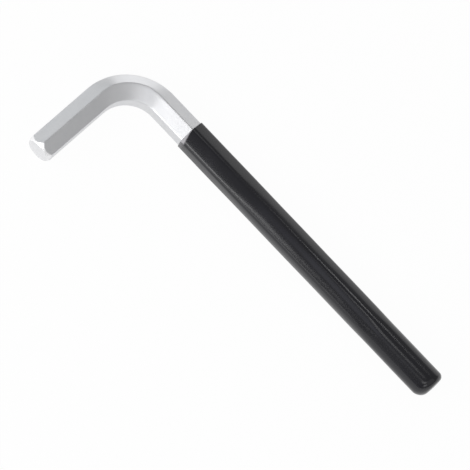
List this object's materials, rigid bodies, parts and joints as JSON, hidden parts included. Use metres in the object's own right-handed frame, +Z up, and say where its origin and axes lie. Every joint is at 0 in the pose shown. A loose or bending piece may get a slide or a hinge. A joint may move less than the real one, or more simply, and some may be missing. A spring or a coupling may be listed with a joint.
{
  "type": "hex key",
  "caption": "L-shaped hexagonal key for socket-head screws, bright plated, with a closed black vinyl sleeve on its long arm.",
  "frame": {"origin": "on the bench, under the middle of the key's outline", "axes": "+X along the long arm towards the sleeve's closed end, the short arm points to -Y, +Z up from the bench"},
  "size_m": [0.1314, 0.0424, 0.0099],
  "materials": {
    "plated_steel": "bright plated steel with soft reflections",
    "black_vinyl": "glossy black vinyl, slightly uneven"
  },
  "bodies": {
    "root": {"hex_bar": "plated_steel", "grip_sleeve": "black_vinyl"}
  },
  "joints": []
}
